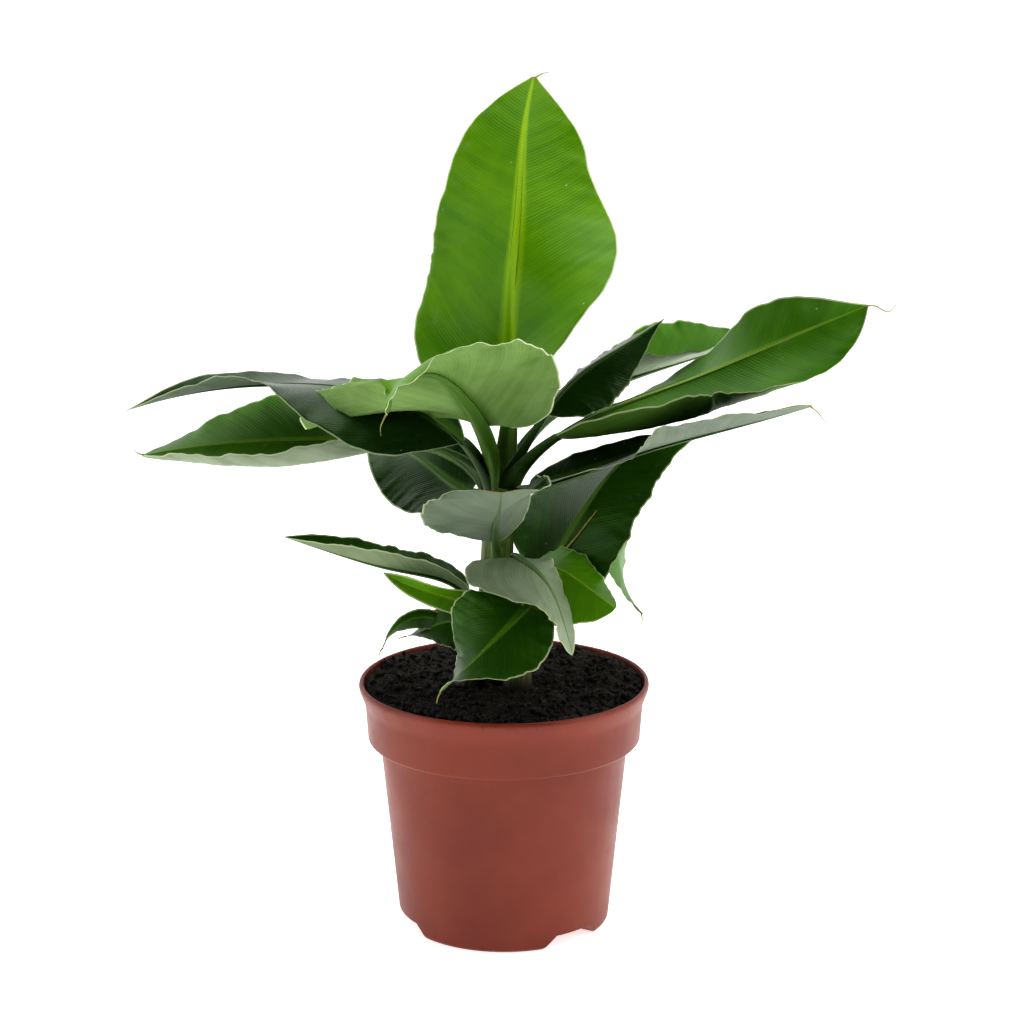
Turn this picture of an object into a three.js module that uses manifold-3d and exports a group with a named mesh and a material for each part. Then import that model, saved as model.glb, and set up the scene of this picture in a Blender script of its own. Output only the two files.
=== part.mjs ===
// Young banana plant in a 12 cm nursery pot. Millimetres, +Z up, +X to the right, the viewer at -Y.
// The origin is the centre of the pot's flat underside.
import * as THREE from 'three';
import Module from 'manifold-3d';

const wasm = await Module();
wasm.setup();

// ---------------------------------------------------------------- driving dimensions
const POT_HEIGHT = 103.4;
const LIP_RADIUS = 60;
const COLLAR_TOP_RADIUS = 57.4;
const COLLAR_TOP_HEIGHT = 94;
const COLLAR_FOOT_RADIUS = 56.4;
const COLLAR_FOOT_HEIGHT = 79;
const BODY_TOP_RADIUS = 51.4;
const BODY_TOP_HEIGHT = 77.8;
const BASE_RADIUS = 43.8;
const WALL = 1.6;
const FLOOR = 7;
const NOTCH_HEIGHT = 5.4;
const NOTCH_DEPTH = 14;
const NOTCH_SLANT_DEG = 4;
// Heading of the middle of each notch and its half width.
const NOTCHES_DEG = [[-49, 15.5], [-161, 20], [70, 17]];
const COMPOST_HEIGHT = 101.6;
const COMPOST_MOUND = 0.8;
const GAP = 0.3;
const BLADE_THICK = 0.7;
const RIB_THICK = 1.9;
const PETIOLE_SIDES = 6;
const POT_SIDES = 42;

// Stems: foot, top, radius at foot and at top.
const STEMS = {
  pseudostem: { foot: [-7, 0, 103.4], top: [-2, 0, 185], thick: [6.8, 5.6] },
  sucker_right: { foot: [5, -11, 103.4], top: [3, -10, 136], thick: [4.8, 3.8] },
  sucker_left: { foot: [-16, -5, 103.4], top: [-13, -4, 121], thick: [4.2, 3.2] },
};

// Leaves. `at` is where the leaf stalk leaves its stem and `heel` a point of the stem below it.
// head: compass heading of the rib from +X toward +Y; rise: its climb above the level; both in
// degrees at even steps from stalk foot to tip. len: length of stalk and rib together. bare: part
// of len without blade. half: greatest width of the left and the right half. outline: how fast the
// blade widens from its foot and narrows to its tip. roll: turn of the blade about its rib.
// foldL, foldR: how far each half stands up from the flat at foot, middle and tip.
// curlL, curlR: how far each half goes on bending up between rib and edge. stalk: radius of the
// stalk at its foot and at the blade.
const LEAVES = {
  leaf_01_crown: {
    at: [0, 3, 187], heel: [-2, 1, 176], head: [80, 59, 85, 75], rise: [62, 92, 51, 42],
    len: 181, bare: 0.17, half: [50, 43], outline: [0.45, 0.85], roll: [-5, 20, -10],
    foldL: [40, -15, -5], foldR: [55, -30, 5], stalk: [4.6, 3.2],
  },
  leaf_02_front: {
    at: [-2, -3, 188], heel: [-2, -2, 176], head: [218, 250, 223, 191], rise: [81, 40, 31, -90],
    len: 101, bare: 0.28, half: [40, 72], outline: [0.3, 0.55], roll: [55, -40, -15],
    foldL: [10, 5, 10], foldR: [30, 30, -12], curlL: [-25, -25], curlR: [-35, 25],
    stalk: [4.8, 3.4],
  },
  leaf_03_long_left: {
    at: [-5, -3, 187], heel: [-3, -1, 176], head: [205, 152, 167, 188], rise: [70, 10, -5, -18],
    len: 176, bare: 0.12, half: [38, 23], outline: [0.9, 1.35], roll: [30, 15, 40],
    foldL: [-25, 25, 45], foldR: [20, -20, 20], curlL: [-35, 40], stalk: [4, 2.6],
  },
  leaf_04_left: {
    at: [-6, 1, 185], heel: [-3, 0, 174], head: [122, 175, 177, 176], rise: [31, 3, -3, -13],
    len: 156, bare: 0.21, half: [39, 28], outline: [0.65, 0.75], roll: [5, 5, 20],
    foldL: [-25, -40, -15], foldR: [0, 25, -20], curlL: [120, 85], stalk: [3.6, 2.5],
  },
  leaf_05_back_left: {
    at: [-6, 3, 181], heel: [-3, 1, 170], head: [128, 124, 118, 158], rise: [-13, 14, -1, 17],
    len: 101, bare: 0.13, half: [23, 19], outline: [0.45, 0.9], roll: [25, 45, -10],
    foldL: [10, 5, 25], foldR: [10, 15, 5], stalk: [3.4, 2.4],
  },
  leaf_06_small_front: {
    at: [0, -10, 135], heel: [3, -10, 124], head: [238, 264, 274, 275], rise: [81, 56, 23, 52],
    len: 93, bare: 0.39, half: [25, 30], outline: [0.6, 0.4], roll: [30, -25, 5],
    foldL: [0, 25, 15], foldR: [20, 20, 5], stalk: [2.6, 1.8],
  },
  leaf_07_back_right: {
    at: [0, 0, 189], heel: [-2, 1, 176], head: [-7, 7, 11, 16], rise: [59, 56, 30, 33], len: 94,
    bare: 0.33, half: [16, 18], outline: [0.65, 1.25], roll: [15, 0, -15],
    foldL: [-10, -15, -20], foldR: [-45, -70, -100], stalk: [3.2, 2.2],
  },
  leaf_08_far_right: {
    at: [2, 8, 185], heel: [-1, 1, 174], head: [74, 36, 13, 14], rise: [47, 21, 15, 16],
    len: 136, bare: 0.37, half: [24, 21], outline: [0.65, 0.75], roll: [15, 10, -30],
    foldL: [-15, 35, 0], foldR: [55, 30, 50], stalk: [3.2, 2.1],
  },
  leaf_09_big_right: {
    at: [2, 0, 186], heel: [-2, 0, 174], head: [-31, 28, -3, 17], rise: [61, 14, 24, 19],
    len: 171, bare: 0.17, half: [27, 53], outline: [0.6, 0.9], roll: [20, -5, -55],
    foldL: [-15, -10, 75], foldR: [-60, -35, -25], curlR: [125, 65], stalk: [4.2, 2.8],
  },
  leaf_10_narrow_right: {
    at: [0, -4, 182], heel: [-2, -1, 170], head: [-37, 12, -33, -4], rise: [22, 17, 19, 18],
    len: 136, bare: 0.09, half: [12, 33], outline: [0.3, 0.55], roll: [-15, -20, -10],
    foldL: [20, -5, 10], foldR: [30, 35, 30], stalk: [3.4, 2.4],
  },
  leaf_11_right_low: {
    at: [5, -3, 133], heel: [-4, 0, 120], head: [-6, 12, 18, 0], rise: [50, 60, 41, -6],
    len: 113, bare: 0.14, half: [42, 26], outline: [0.4, 0.85], roll: [0, 0, 0],
    foldL: [35, -5, -15], foldR: [-55, -30, -60], stalk: [3.2, 2.3],
  },
  leaf_12_behind_right: {
    at: [2, 4, 136], heel: [-5, 1, 124], head: [21, 29, 10, 13], rise: [51, 48, -78, -51],
    len: 111, bare: 0.31, half: [18, 14], outline: [0.75, 0.6], roll: [15, -5, -25],
    foldL: [-35, 15, -35], foldR: [10, -25, 30], stalk: [2.5, 1.7],
  },
  leaf_13_low_right: {
    at: [2, -10, 138], heel: [3, -10, 126], head: [-60, -39, -25, -22], rise: [87, 28, -26, -32],
    len: 65, bare: 0.14, half: [18, 24], outline: [0.4, 0.6], roll: [0, 0, 0],
    foldL: [15, 10, 0], foldR: [-70, -75, -60], stalk: [2.4, 1.7],
  },
  leaf_14_turned_front: {
    at: [2, -13, 136], heel: [3, -11, 124], head: [314, 279, 350, 323],
    rise: [108, 30, -60, -74], len: 86, bare: 0.34, half: [28, 13], outline: [0.45, 0.9],
    roll: [-55, -185, -175], foldL: [25, -10, -10], foldR: [10, 0, -20], stalk: [2.5, 1.8],
  },
  leaf_15_low_front: {
    at: [2, -12, 135], heel: [3, -11, 122], head: [337, 250, 210, 192], rise: [48, -9, -37, -40],
    len: 78, bare: 0.33, half: [22, 27], outline: [0.55, 0.9], roll: [-5, 15, -25],
    foldL: [20, -20, 15], foldR: [15, 0, -5], stalk: [2.5, 1.8],
  },
  leaf_16_low_left: {
    at: [-12, -4, 122], heel: [-14, -4, 114], head: [197, 192, 161, 162],
    rise: [108, 20, 11, 14], len: 102, bare: 0.18, half: [11, 15], outline: [0.5, 0.9],
    roll: [25, -5, 20], foldL: [30, 50, 55], foldR: [25, 25, 25], stalk: [2.2, 1.5],
  },
  leaf_17_small_left: {
    at: [-13, -2, 120], heel: [-14, -4, 112], head: [291, 238, 181, 152], rise: [85, 39, 17, 24],
    len: 61, bare: 0.21, half: [6, 6], outline: [0.45, 0.8], roll: [15, 75, 40],
    foldL: [0, 0, 15], foldR: [0, 60, 15], stalk: [1.7, 1.2],
  },
  leaf_18_drooping_left: {
    at: [-15, 0, 114], heel: [-15, -4, 107], head: [191, 197, 199, 204],
    rise: [77, 36, -16, -71], len: 50, bare: 0.26, half: [8, 4], outline: [0.55, 0.8],
    roll: [20, 30, -15], foldL: [15, 5, 25], foldR: [10, 20, 0], stalk: [1.5, 1.1],
  },
  leaf_19_brown_tipped: {
    at: [-13, -6, 116], heel: [-15, -5, 108], head: [192, 195, 196, 210],
    rise: [114, 39, -20, -1], len: 40, bare: 0.21, half: [16, 12], outline: [0.5, 0.8],
    roll: [35, 30, -10], foldL: [20, -5, 10], foldR: [25, -15, -15], stalk: [1.6, 1.2],
  },
};

// ---------------------------------------------------------------- small helpers
const rad = (d) => (d * Math.PI) / 180;
const add = (a, b, k = 1) => [a[0] + b[0] * k, a[1] + b[1] * k, a[2] + b[2] * k];
const sub = (a, b) => add(a, b, -1);
const cross = (a, b) => [
  a[1] * b[2] - a[2] * b[1],
  a[2] * b[0] - a[0] * b[2],
  a[0] * b[1] - a[1] * b[0],
];
const size = (a) => Math.hypot(a[0], a[1], a[2]);
const unit = (a) => {
  const k = size(a) || 1;
  return [a[0] / k, a[1] / k, a[2] / k];
};
const mix = (a, b, t) => add(a, sub(b, a), t);

// A value that runs smoothly through evenly spaced stations, at s from 0 to 1.
function along(v, s) {
  const n = v.length - 1;
  const x = Math.min(Math.max(s, 0), 1) * n;
  const i = Math.min(Math.floor(x), n - 1);
  const t = x - i;
  const a = i > 0 ? v[i - 1] : 2 * v[0] - v[1];
  const b = v[i];
  const c = v[i + 1];
  const d = i + 2 <= n ? v[i + 2] : 2 * v[n] - v[n - 1];
  const e = 2 * a - 5 * b + 4 * c - d;
  return b + 0.5 * t * (c - a + t * (e + t * (3 * (b - c) + d - a)));
}

// The rib of a leaf: points and side and upper directions at even steps.
const STEPS = 48;
function ribOf(leaf) {
  const rows = [];
  const step = leaf.len / STEPS;
  let p = leaf.at;
  let before = null;
  for (let i = 0; i <= STEPS; i += 1) {
    const s = i / STEPS;
    const h = rad(along(leaf.head, s));
    const c = rad(along(leaf.rise, s));
    const r = rad(along(leaf.roll, s));
    const t = [Math.cos(c) * Math.cos(h), Math.cos(c) * Math.sin(h), Math.sin(c)];
    const side0 = [Math.sin(h), -Math.cos(h), 0];
    const up0 = cross(side0, t);
    if (before) p = add(p, add(t, before), step / 2);
    before = t;
    rows.push({
      p,
      t,
      side: add([side0[0] * Math.cos(r), side0[1] * Math.cos(r), 0], up0, Math.sin(r)),
      up: add([-side0[0] * Math.sin(r), -side0[1] * Math.sin(r), 0], up0, Math.cos(r)),
    });
  }
  return rows;
}
function ribAt(rows, s) {
  const x = Math.min(Math.max(s, 0), 1) * STEPS;
  const i = Math.min(Math.floor(x), STEPS - 1);
  const k = x - i;
  const a = rows[i];
  const b = rows[i + 1];
  return {
    p: mix(a.p, b.p, k),
    t: unit(mix(a.t, b.t, k)),
    side: unit(mix(a.side, b.side, k)),
    up: unit(mix(a.up, b.up, k)),
  };
}

// Blade width as a part of its greatest width, at u from foot to tip.
function outline(u, [open, close]) {
  const m = open / (open + close);
  return (u / m) ** open * ((1 - u) / (1 - m)) ** close;
}

// A point of the middle surface of a blade: u from foot to tip, v from -1 (left edge) by 0 (rib) to 1.
function bladePoint(leaf, rows, u, v) {
  const r = ribAt(rows, leaf.bare + (1 - leaf.bare) * u);
  const left = v < 0;
  const t = Math.abs(v);
  const w = leaf.half[left ? 0 : 1] * outline(u, leaf.outline);
  const f = rad(along(left ? leaf.foldL : leaf.foldR, u));
  const bend = (left ? leaf.curlL : leaf.curlR) || [0, 0];
  const c = rad(along(bend, u)) || 1e-4;
  const out = (w * (Math.sin(f + c * t) - Math.sin(f))) / c;
  const high = (w * (Math.cos(f) - Math.cos(f + c * t))) / c;
  return add(add(r.p, r.side, left ? -out : out), r.up, high);
}

// ---------------------------------------------------------------- solids
function solid(points, faces) {
  return new wasm.Manifold(
    new wasm.Mesh({
      numProp: 3,
      vertProperties: new Float32Array(points.flat()),
      triVerts: new Uint32Array(faces.flat()),
    }),
  );
}
function largest(s) {
  return s.decompose().sort((a, b) => b.volume() - a.volume())[0];
}

// A closed tube through round sections: centres, radii.
function tube(centres, radii, sides) {
  const pts = [];
  const faces = [];
  const n = centres.length;
  let ref = null;
  centres.forEach((c, i) => {
    const t = unit(sub(centres[Math.min(i + 1, n - 1)], centres[Math.max(i - 1, 0)]));
    if (!ref) ref = unit(cross(t, Math.abs(t[0]) < 0.9 ? [1, 0, 0] : [0, 1, 0]));
    const b = unit(cross(t, ref));
    ref = unit(cross(b, t));
    for (let k = 0; k < sides; k += 1) {
      const a = (2 * Math.PI * k) / sides;
      pts.push(add(add(c, ref, radii[i] * Math.cos(a)), b, radii[i] * Math.sin(a)));
    }
  });
  for (let i = 0; i < n - 1; i += 1) {
    for (let k = 0; k < sides; k += 1) {
      const a = i * sides + k;
      const b = i * sides + ((k + 1) % sides);
      faces.push([a, b, b + sides]);
      faces.push([a, b + sides, a + sides]);
    }
  }
  const foot = pts.push(centres[0]) - 1;
  const top = pts.push(centres[n - 1]) - 1;
  for (let k = 0; k < sides; k += 1) {
    const b = (k + 1) % sides;
    faces.push([foot, b, k]);
    faces.push([top, (n - 1) * sides + k, (n - 1) * sides + b]);
  }
  return solid(pts, faces);
}

// The stalk: from the heel inside the stem, along the rib to the foot of the blade.
function stalk(leaf, rows, more) {
  const cuts = 4;
  const centres = [leaf.heel];
  const radii = [leaf.stalk[0] + more];
  for (let i = 0; i <= cuts; i += 1) {
    const s = (leaf.bare * i) / cuts;
    centres.push(ribAt(rows, s).p);
    radii.push(leaf.stalk[0] + ((leaf.stalk[1] - leaf.stalk[0]) * i) / cuts + more);
  }
  return tube(centres, radii, PETIOLE_SIDES);
}

// The blade: a thin closed leaf of its outline, thickest along the rib. `more` swells it.
function blade(leaf, rows, more) {
  const lengthwise = 10;
  const curled = leaf.curlL || leaf.curlR;
  const stops = curled ? [0, 0.3, 0.65, 1] : [0, 0.45, 1];
  const v = [...stops.slice(1).reverse().map((x) => -x), ...stops];
  const rowsN = lengthwise + 1;
  const cols = v.length;
  const wide = { ...leaf, half: leaf.half.map((h) => h + 2 * more) };
  const mid = [];
  for (let i = 0; i < rowsN; i += 1) {
    const u = 0.025 + 0.965 * (i / lengthwise) ** 1.05;
    v.forEach((x) => mid.push(bladePoint(wide, rows, u, x)));
  }
  const at = (i, j) => mid[i * cols + j];
  const upper = [];
  const lower = [];
  for (let i = 0; i < rowsN; i += 1) {
    for (let j = 0; j < cols; j += 1) {
      const du = sub(at(Math.min(i + 1, rowsN - 1), j), at(Math.max(i - 1, 0), j));
      const dv = sub(at(i, Math.min(j + 1, cols - 1)), at(i, Math.max(j - 1, 0)));
      const n = unit(cross(dv, du));
      const taper = 1 - 0.55 * (i / lengthwise);
      const h = (v[j] === 0 ? RIB_THICK * taper : BLADE_THICK) / 2 + more;
      const below = v[j] === 0 ? h * 1.4 : h;
      upper.push(add(at(i, j), n, h));
      lower.push(add(at(i, j), n, -below));
    }
  }
  const pts = [...upper, ...lower];
  const off = upper.length;
  const faces = [];
  const quad = (a, b, c, d) => faces.push([a, b, c], [a, c, d]);
  for (let i = 0; i < rowsN - 1; i += 1) {
    for (let j = 0; j < cols - 1; j += 1) {
      const a = i * cols + j;
      quad(a, a + 1, a + 1 + cols, a + cols);
      quad(off + a, off + a + cols, off + a + cols + 1, off + a + 1);
    }
    const l = i * cols;
    const r = l + cols - 1;
    quad(l, l + cols, off + l + cols, off + l);
    quad(r, off + r, off + r + cols, r + cols);
  }
  for (let j = 0; j < cols - 1; j += 1) {
    const z = (rowsN - 1) * cols + j;
    quad(j, off + j, off + j + 1, j + 1);
    quad(z, z + 1, off + z + 1, off + z);
  }
  return solid(pts, faces);
}

// A solid of revolution about Z from a closed profile [radius, height] that starts and ends on the axis.
function turned(profile, sides) {
  const g = new THREE.LatheGeometry(profile.map(([r, z]) => new THREE.Vector2(r, z)), sides);
  g.rotateX(Math.PI / 2);
  return fromGeometry(g);
}
function fromGeometry(g) {
  const p = g.getAttribute('position');
  const key = new Map();
  const pts = [];
  const same = [];
  for (let i = 0; i < p.count; i += 1) {
    const q = [p.getX(i), p.getY(i), p.getZ(i)];
    const name = q.map((x) => Math.round(x * 1e4)).join(' ').replaceAll('-0', '0');
    if (!key.has(name)) key.set(name, pts.push(q) - 1);
    same.push(key.get(name));
  }
  const faces = [];
  const idx = g.index ? g.index.array : [...Array(p.count).keys()];
  for (let i = 0; i < idx.length; i += 3) {
    const f = [same[idx[i]], same[idx[i + 1]], same[idx[i + 2]]];
    if (new Set(f).size === 3) faces.push(f);
  }
  const made = solid(pts, faces);
  if (made.volume() >= 0) return made;
  return solid(pts, faces.map(([a, b, c]) => [a, c, b]));
}

// ---------------------------------------------------------------- pot and compost
const outer = [
  [0, 0],
  [BASE_RADIUS - 1, 0],
  [BASE_RADIUS, 1],
  [BODY_TOP_RADIUS, BODY_TOP_HEIGHT],
  [COLLAR_FOOT_RADIUS - 1, COLLAR_FOOT_HEIGHT - 0.6],
  [COLLAR_FOOT_RADIUS, COLLAR_FOOT_HEIGHT + 0.4],
  [COLLAR_TOP_RADIUS, COLLAR_TOP_HEIGHT],
  [LIP_RADIUS - 1.4, POT_HEIGHT - 6],
  [LIP_RADIUS - 0.3, POT_HEIGHT - 3],
  [LIP_RADIUS, POT_HEIGHT - 1.6],
  [LIP_RADIUS - 0.4, POT_HEIGHT - 0.4],
  [LIP_RADIUS - 1.1, POT_HEIGHT],
  [LIP_RADIUS - 1.9, POT_HEIGHT - 0.4],
];
const inner = [
  [LIP_RADIUS - 2.3, POT_HEIGHT - 2],
  [COLLAR_TOP_RADIUS - WALL, COLLAR_TOP_HEIGHT],
  [COLLAR_FOOT_RADIUS - WALL, COLLAR_FOOT_HEIGHT + 1.8],
  [BODY_TOP_RADIUS - WALL, BODY_TOP_HEIGHT + 1.8],
  [BASE_RADIUS - WALL + 0.5, FLOOR],
];
const nodes = new Map();
let pot = turned([...outer, ...inner, [0, FLOOR]], POT_SIDES);
for (const [heading, width] of NOTCHES_DEG) {
  const cut = new THREE.BoxGeometry(NOTCH_DEPTH, 1, NOTCH_HEIGHT * 2);
  const pos = cut.getAttribute('position');
  for (let i = 0; i < pos.count; i += 1) {
    const far = pos.getX(i) > 0;
    const low = pos.getZ(i) < 0;
    const r = far ? BASE_RADIUS + 6 : BASE_RADIUS - NOTCH_DEPTH;
    const half = width + (low ? 3 : -1) * NOTCH_SLANT_DEG;
    const a = rad(heading + (pos.getY(i) > 0 ? half : -half));
    pos.setXYZ(i, r * Math.cos(a), r * Math.sin(a), low ? -NOTCH_HEIGHT : NOTCH_HEIGHT);
  }
  pot = pot.subtract(fromGeometry(cut));
}
nodes.set('pot', { s: pot, color: '#a34f40', roughness: 0.45 });
const fill = [
  [0, FLOOR + GAP],
  ...inner.slice().reverse().map(([r, z]) => [r - GAP, z + GAP]),
  [COLLAR_TOP_RADIUS * 0.6, COMPOST_HEIGHT + COMPOST_MOUND * 0.6],
  [0, COMPOST_HEIGHT + COMPOST_MOUND],
];
nodes.set('compost', { s: turned(fill, 28), color: '#2a1f18', roughness: 1 });

// ---------------------------------------------------------------- stems, stalks, blades
// Each piece gives way to the pieces before it, with a small gap all round.
const taken = [];
function keep(name, shape, look) {
  let s = shape(0);
  taken.forEach((other) => {
    if (s.intersect(other.fat).isEmpty()) return;
    s = s.subtract(other.fat);
    if (s.intersect(other.s).volume() > 0.002) s = s.subtract(other.shape(4 * GAP));
  });
  s = largest(s);
  nodes.set(name, { s, ...look });
  taken.push({ s, shape, fat: shape(1.5 * GAP) });
}
const STALK_LOOK = { color: '#5d8a2a', roughness: 0.5 };
Object.entries(STEMS).forEach(([name, { foot, top, thick }]) => {
  const run = [0, 0.15, 0.5, 0.85, 1];
  const swell = [1.08, 1, 0.95, 1, 1];
  const centres = run.map((t) => mix(foot, top, t));
  const radii = run.map((t, i) => (thick[0] + (thick[1] - thick[0]) * t) * swell[i]);
  const shape = (more) => tube(centres, radii.map((r) => r + more), 10);
  keep(name, shape, { color: '#7fa04a', roughness: 0.5 });
});
const ribs = new Map();
Object.entries(LEAVES).forEach(([name, leaf]) => {
  const rows = ribOf(leaf);
  ribs.set(name, rows);
  keep(`${name}_petiole`, (more) => stalk(leaf, rows, more), STALK_LOOK);
});
Object.entries(LEAVES).forEach(([name, leaf]) => {
  const rows = ribs.get(name);
  const look = { color: '#3f7a1c', roughness: 0.4 };
  keep(`${name}_blade`, (more) => blade(leaf, rows, more), look);
});

const group = new THREE.Group();
group.name = 'banana_plant';
nodes.forEach(({ s, color, roughness }, name) => {
  const m = s.getMesh();
  const g = new THREE.BufferGeometry();
  const xyz = new Float32Array(m.numVert * 3);
  for (let i = 0; i < m.numVert; i += 1) {
    for (let k = 0; k < 3; k += 1) xyz[i * 3 + k] = m.vertProperties[i * m.numProp + k];
  }
  g.setAttribute('position', new THREE.BufferAttribute(xyz, 3));
  g.setIndex(new THREE.BufferAttribute(m.triVerts, 1));
  const mesh = new THREE.Mesh(g, new THREE.MeshStandardMaterial({ color, roughness, metalness: 0 }));
  mesh.name = name;
  group.add(mesh);
});
export default group;
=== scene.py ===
import math

import bpy
import numpy as np
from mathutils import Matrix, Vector


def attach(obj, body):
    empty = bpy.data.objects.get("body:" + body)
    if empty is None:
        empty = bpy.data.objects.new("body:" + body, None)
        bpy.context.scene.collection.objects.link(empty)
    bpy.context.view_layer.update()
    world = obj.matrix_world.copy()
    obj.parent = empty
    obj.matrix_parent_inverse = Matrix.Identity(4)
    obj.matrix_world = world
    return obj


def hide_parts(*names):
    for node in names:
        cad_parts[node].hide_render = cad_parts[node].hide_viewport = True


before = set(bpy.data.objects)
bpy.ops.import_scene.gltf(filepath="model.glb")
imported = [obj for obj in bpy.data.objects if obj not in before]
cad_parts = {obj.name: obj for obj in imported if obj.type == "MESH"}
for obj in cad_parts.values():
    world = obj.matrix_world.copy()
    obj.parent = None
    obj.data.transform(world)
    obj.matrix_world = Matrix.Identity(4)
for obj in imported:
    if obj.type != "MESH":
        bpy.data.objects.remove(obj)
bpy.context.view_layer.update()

MM = 0.001
SCENE = bpy.context.scene
SCENE.view_settings.view_transform = "Standard"
SCENE.view_settings.look = "Medium High Contrast"

# ------------------------------------------------------------------ camera
VIEW_CENTRE = np.array([0.0033, 0.0, 0.1744])
VIEW_DISTANCE = 1.10
VIEW_ELEVATION = 14.0


def make_camera():
    """A long lens on the front of the plant, looking a little down on the rim of the pot."""
    data = bpy.data.cameras.new("studio_camera")
    data.lens = 94.9
    data.sensor_width = 36.0
    data.clip_start, data.clip_end = 0.05, 50.0
    cam = bpy.data.objects.new("studio_camera", data)
    SCENE.collection.objects.link(cam)
    e = math.radians(VIEW_ELEVATION)
    back = Vector((0.0, -math.cos(e), math.sin(e)))
    cam.location = Vector(VIEW_CENTRE) + back * VIEW_DISTANCE
    cam.rotation_mode = "QUATERNION"
    cam.rotation_quaternion = (-back).to_track_quat("-Z", "Y")
    SCENE.camera = cam


make_camera()


# ------------------------------------------------------------------ helpers
def srgb(hex_colour):
    """An sRGB hex value as linear red, green, blue and full alpha."""
    v = [int(hex_colour[i:i + 2], 16) / 255 for i in (1, 3, 5)]
    lin = [c / 12.92 if c <= 0.04045 else ((c + 0.055) / 1.055) ** 2.4 for c in v]
    return (*lin, 1.0)


def node(tree, kind, links=None, **settings):
    """Adds a node. Settings are attributes or input values; links are input name: output socket."""
    n = tree.nodes.new(kind)
    for key, value in settings.items():
        if hasattr(n, key) and key not in n.inputs:
            setattr(n, key, value)
        else:
            n.inputs[key.replace("_", " ") if key not in n.inputs else key].default_value = value
    for key, out in (links or {}).items():
        tree.links.new(out, n.inputs[key])
    return n


def material(name):
    """An empty node material with its shader: (material, tree, principled shader)."""
    m = bpy.data.materials.new(name)
    m.use_nodes = True
    return m, m.node_tree, m.node_tree.nodes["Principled BSDF"]


def ramp(tree, factor, stops):
    """A colour ramp: stops are (position, sRGB hex or grey number)."""
    r = node(tree, "ShaderNodeValToRGB", {"Fac": factor})
    els = r.color_ramp.elements
    while len(els) < len(stops):
        els.new(0.5)
    for el, (pos, col) in zip(els, stops):
        el.position = pos
        el.color = srgb(col) if isinstance(col, str) else (col, col, col, 1.0)
    return r.outputs["Color"]


def mesh_object(name, verts, faces, mats, face_mat=None):
    """A smooth-shaded mesh from arrays: verts (n,3), faces (m,3 or 4), a material index per face."""
    mesh = bpy.data.meshes.new(name)
    verts = np.ascontiguousarray(verts, dtype=np.float32)
    faces = np.ascontiguousarray(faces, dtype=np.int32)
    k = faces.shape[1]
    mesh.vertices.add(len(verts))
    mesh.vertices.foreach_set("co", verts.ravel())
    mesh.loops.add(faces.size)
    mesh.loops.foreach_set("vertex_index", faces.ravel())
    mesh.polygons.add(len(faces))
    mesh.polygons.foreach_set("loop_start", np.arange(0, faces.size, k, dtype=np.int32))
    mesh.polygons.foreach_set("loop_total", np.full(len(faces), k, dtype=np.int32))
    for m in mats:
        mesh.materials.append(m)
    if face_mat is not None:
        mesh.polygons.foreach_set("material_index", np.asarray(face_mat, dtype=np.int32))
    mesh.polygons.foreach_set("use_smooth", np.ones(len(faces), dtype=bool))
    mesh.update(calc_edges=True)
    mesh.validate(clean_customdata=False)
    obj = bpy.data.objects.new(name, mesh)
    SCENE.collection.objects.link(obj)
    return obj


def grid_faces(rows, cols, wrap=False):
    """Quads of a rows by cols grid, counter-clockwise as rows go up and cols go right."""
    i = np.arange(rows - 1)[:, None]
    j = np.arange(cols if wrap else cols - 1)[None]
    j2 = (j + 1) % cols
    q = np.stack([i * cols + j, i * cols + j2, (i + 1) * cols + j2, (i + 1) * cols + j], -1)
    return q.reshape(-1, 4)


def unit(v):
    """Each vector of an array brought to length one."""
    return v / np.maximum(np.linalg.norm(v, axis=-1, keepdims=True), 1e-12)


def along(values, s):
    """A smooth run through evenly spaced stations (a Catmull-Rom curve), at s from 0 to 1."""
    v = np.asarray(values, float)
    n = len(v) - 1
    x = np.clip(s, 0, 1) * n
    i = np.minimum(x.astype(int), n - 1)
    t = x - i
    p = np.concatenate([[2 * v[0] - v[1]], v, [2 * v[-1] - v[-2]]])
    a, b, c, d = p[i], p[i + 1], p[i + 2], p[i + 3]
    return b + 0.5 * t * (c - a + t * (2 * a - 5 * b + 4 * c - d + t * (3 * (b - c) + d - a)))


def waves(s, count, seed):
    """A smooth uneven line in -1..1: three sines of rising pace with seeded phases."""
    ph = np.random.default_rng(seed).uniform(0, 2 * np.pi, 3)
    k = count * 2 * np.pi
    return sum(a * np.sin(n * k * s + p) for a, n, p in zip((1, 0.6, 0.35), (1, 1.9, 3.7), ph)) / 1.95


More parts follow.
